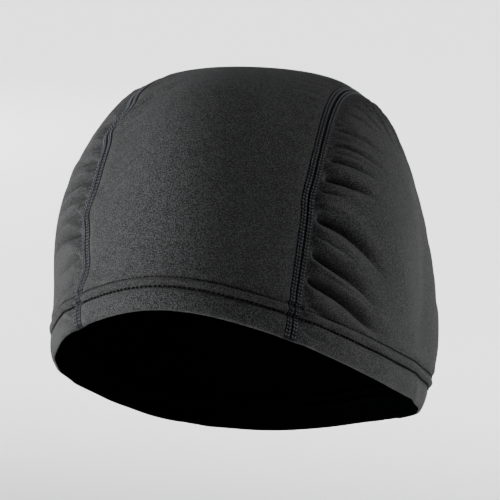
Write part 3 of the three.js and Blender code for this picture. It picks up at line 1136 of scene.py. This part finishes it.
def hem_stitches(name, drop, kind):
    """A row of stitches round the hem, which leaves out the seams."""
    edge = RIBBON_WIDTH / 2 + SEAM_OVERLAP

    def both_seams(across, at_back):
        return [seam_compass(side, drop, across, at_back) for side in (-1, 1)]

    front, back = both_seams(-edge, False), both_seams(-edge, True)
    outer_front, outer_back = both_seams(edge, False), both_seams(edge, True)
    spans = (
        (0, front[0], front[1]),
        (0, back[1], back[0] + 2 * math.pi),
        (1, outer_front[1], outer_back[1]),
        (-1, outer_back[0], outer_front[0]),
    )
    rows = [
        (hem_row_places(drop, kind.pitch, panel, low, high), kind.slant)
        for panel, low, high in spans
    ]
    return stitch_rows(name, kind, rows, hem_thread_with_painted_shade)


centre = centre_panel()
left = side_panel("left_side_panel", 1)
right = side_panel("right_side_panel", -1)
left_ribbon = seam_ribbon("left_seam_ribbon", 1)
right_ribbon = seam_ribbon("right_seam_ribbon", -1)
left_stitches = seam_stitches("left_seam_stitches", 1)
right_stitches = seam_stitches("right_seam_stitches", -1)
upper_row = hem_stitches("hem_upper_stitches", 0.0, UPPER_STITCH)
lower_row = hem_stitches("hem_lower_stitches", HEM_ROW_GAP, LOWER_STITCH)

for piece, node in (
    (centre, "center_panel"),
    (left, "left_panel"),
    (right, "right_panel"),
    (left_ribbon, "left_seam"),
    (right_ribbon, "right_seam"),
):
    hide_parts(node)
panels = (centre, left, right)
threads = (left_ribbon, right_ribbon, left_stitches, right_stitches, upper_row, lower_row)
for piece in panels + threads:
    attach(piece, "root")

# ---------------------------------------------------------------- floor, lights and camera

# The floor lies below the cap, so that it fills the picture without touching the cap.
FLOOR_DROP = 0.5
FLOOR_SIZE = 60
FLOOR_WHITE = 0.9
bpy.ops.object.select_all(action="DESELECT")
bpy.ops.mesh.primitive_plane_add(size=FLOOR_SIZE, location=(0, 0, -FLOOR_DROP))
floor = bpy.context.object
floor.name = "floor"
floor.data.materials.append(
    Finish("pale_floor").close({"Base Color": (*[FLOOR_WHITE] * 3, 1), "Roughness": 0.9})
)

world = bpy.data.worlds.new("studio")
bpy.context.scene.world = world
world.use_nodes = True
surround = world.node_tree.nodes["Background"].inputs
surround["Color"].default_value = (1, 1, 1, 1)
surround["Strength"].default_value = 0.03

MIDDLE = Vector((0, 0, -0.07))


def way_from(turn, lift):
    """The direction from the cap to a compass turn from the front and a lift, in radians."""
    return Vector(
        (math.sin(turn) * math.cos(lift), -math.cos(turn) * math.cos(lift), math.sin(lift))
    )


def area_light(name, size, power, spread=180):
    """A rectangular soft light that shines downwards until it is turned."""
    lamp = bpy.data.lights.new(name, "AREA")
    lamp.shape = "RECTANGLE"
    lamp.size, lamp.size_y = size
    lamp.energy = power
    lamp.spread = math.radians(spread)
    holder = bpy.data.objects.new(name, lamp)
    bpy.context.scene.collection.objects.link(holder)
    return holder


def softbox(name, turn, lift, distance, size, power):
    """A soft light at a compass turn from the front and a lift in degrees, aimed at the cap."""
    away = way_from(math.radians(turn), math.radians(lift))
    holder = area_light(name, size, power)
    holder.location = MIDDLE + away * distance
    holder.rotation_euler = away.to_track_quat("Z", "Y").to_euler()


# Lights in metres, watts and degrees.
SOFTBOX_SIZE = (0.6, 0.9)
SOFTBOX_DISTANCE = 1.4
softbox("key_light", -60, 12, SOFTBOX_DISTANCE, SOFTBOX_SIZE, 84)
softbox("fill_light", 116, 22, SOFTBOX_DISTANCE, SOFTBOX_SIZE, 25)
CEILING_HEIGHT = 2.45
area_light("ceiling_light", (14, 14), 10).location = (0, 0, CEILING_HEIGHT)

# Lights that shine straight down on the floor round the cap.
VIEW_TURN = math.radians(16.8)
FLOOR_LIGHTS = 6
FLOOR_LIGHT_SIZE = (7.4, 7.4)
FLOOR_LIGHT_POWER = 480
FLOOR_LIGHT_SPREAD = 40
FLOOR_LIGHT_REACH = 5.7
FLOOR_LIGHT_HEIGHT = 2.2
for number in range(FLOOR_LIGHTS):
    turn = 2 * math.pi * number / FLOOR_LIGHTS + VIEW_TURN
    name = f"floor_light_{number + 1}"
    spot = area_light(name, FLOOR_LIGHT_SIZE, FLOOR_LIGHT_POWER, FLOOR_LIGHT_SPREAD)
    spot.location = way_from(turn, 0) * FLOOR_LIGHT_REACH
    spot.location.z = FLOOR_LIGHT_HEIGHT

# The camera stands where the photograph was taken from.
VIEW_LIFT = math.radians(6.5)
VIEW_DISTANCE = 2.0
PIXELS_PER_METRE = 2390.0
FRAME_PIXELS = 500
FORM_CENTRE_PIXEL = (243.1, 225.05)
FORM_CENTRE_HEIGHT = 55
FORM_CENTRE = Vector((0, 0, (FORM_CENTRE_HEIGHT - SEAT_HEIGHT) * MM))
SENSOR_WIDTH = 36.0

back = way_from(VIEW_TURN, VIEW_LIFT)
view_right = Vector((math.cos(VIEW_TURN), math.sin(VIEW_TURN), 0))
view_up = back.cross(view_right)
aim = (
    FORM_CENTRE
    + view_right * ((FRAME_PIXELS / 2 - FORM_CENTRE_PIXEL[0]) / PIXELS_PER_METRE)
    + view_up * ((FORM_CENTRE_PIXEL[1] - FRAME_PIXELS / 2) / PIXELS_PER_METRE)
)
camera_data = bpy.data.cameras.new("camera")
camera_data.sensor_width = SENSOR_WIDTH
camera_data.lens = PIXELS_PER_METRE * VIEW_DISTANCE / FRAME_PIXELS * SENSOR_WIDTH
camera_data.clip_end = 200
camera = bpy.data.objects.new("camera", camera_data)
camera.location = FORM_CENTRE + back * VIEW_DISTANCE
camera.rotation_euler = (camera.location - aim).to_track_quat("Z", "Y").to_euler()
bpy.context.scene.collection.objects.link(camera)
bpy.context.scene.camera = camera
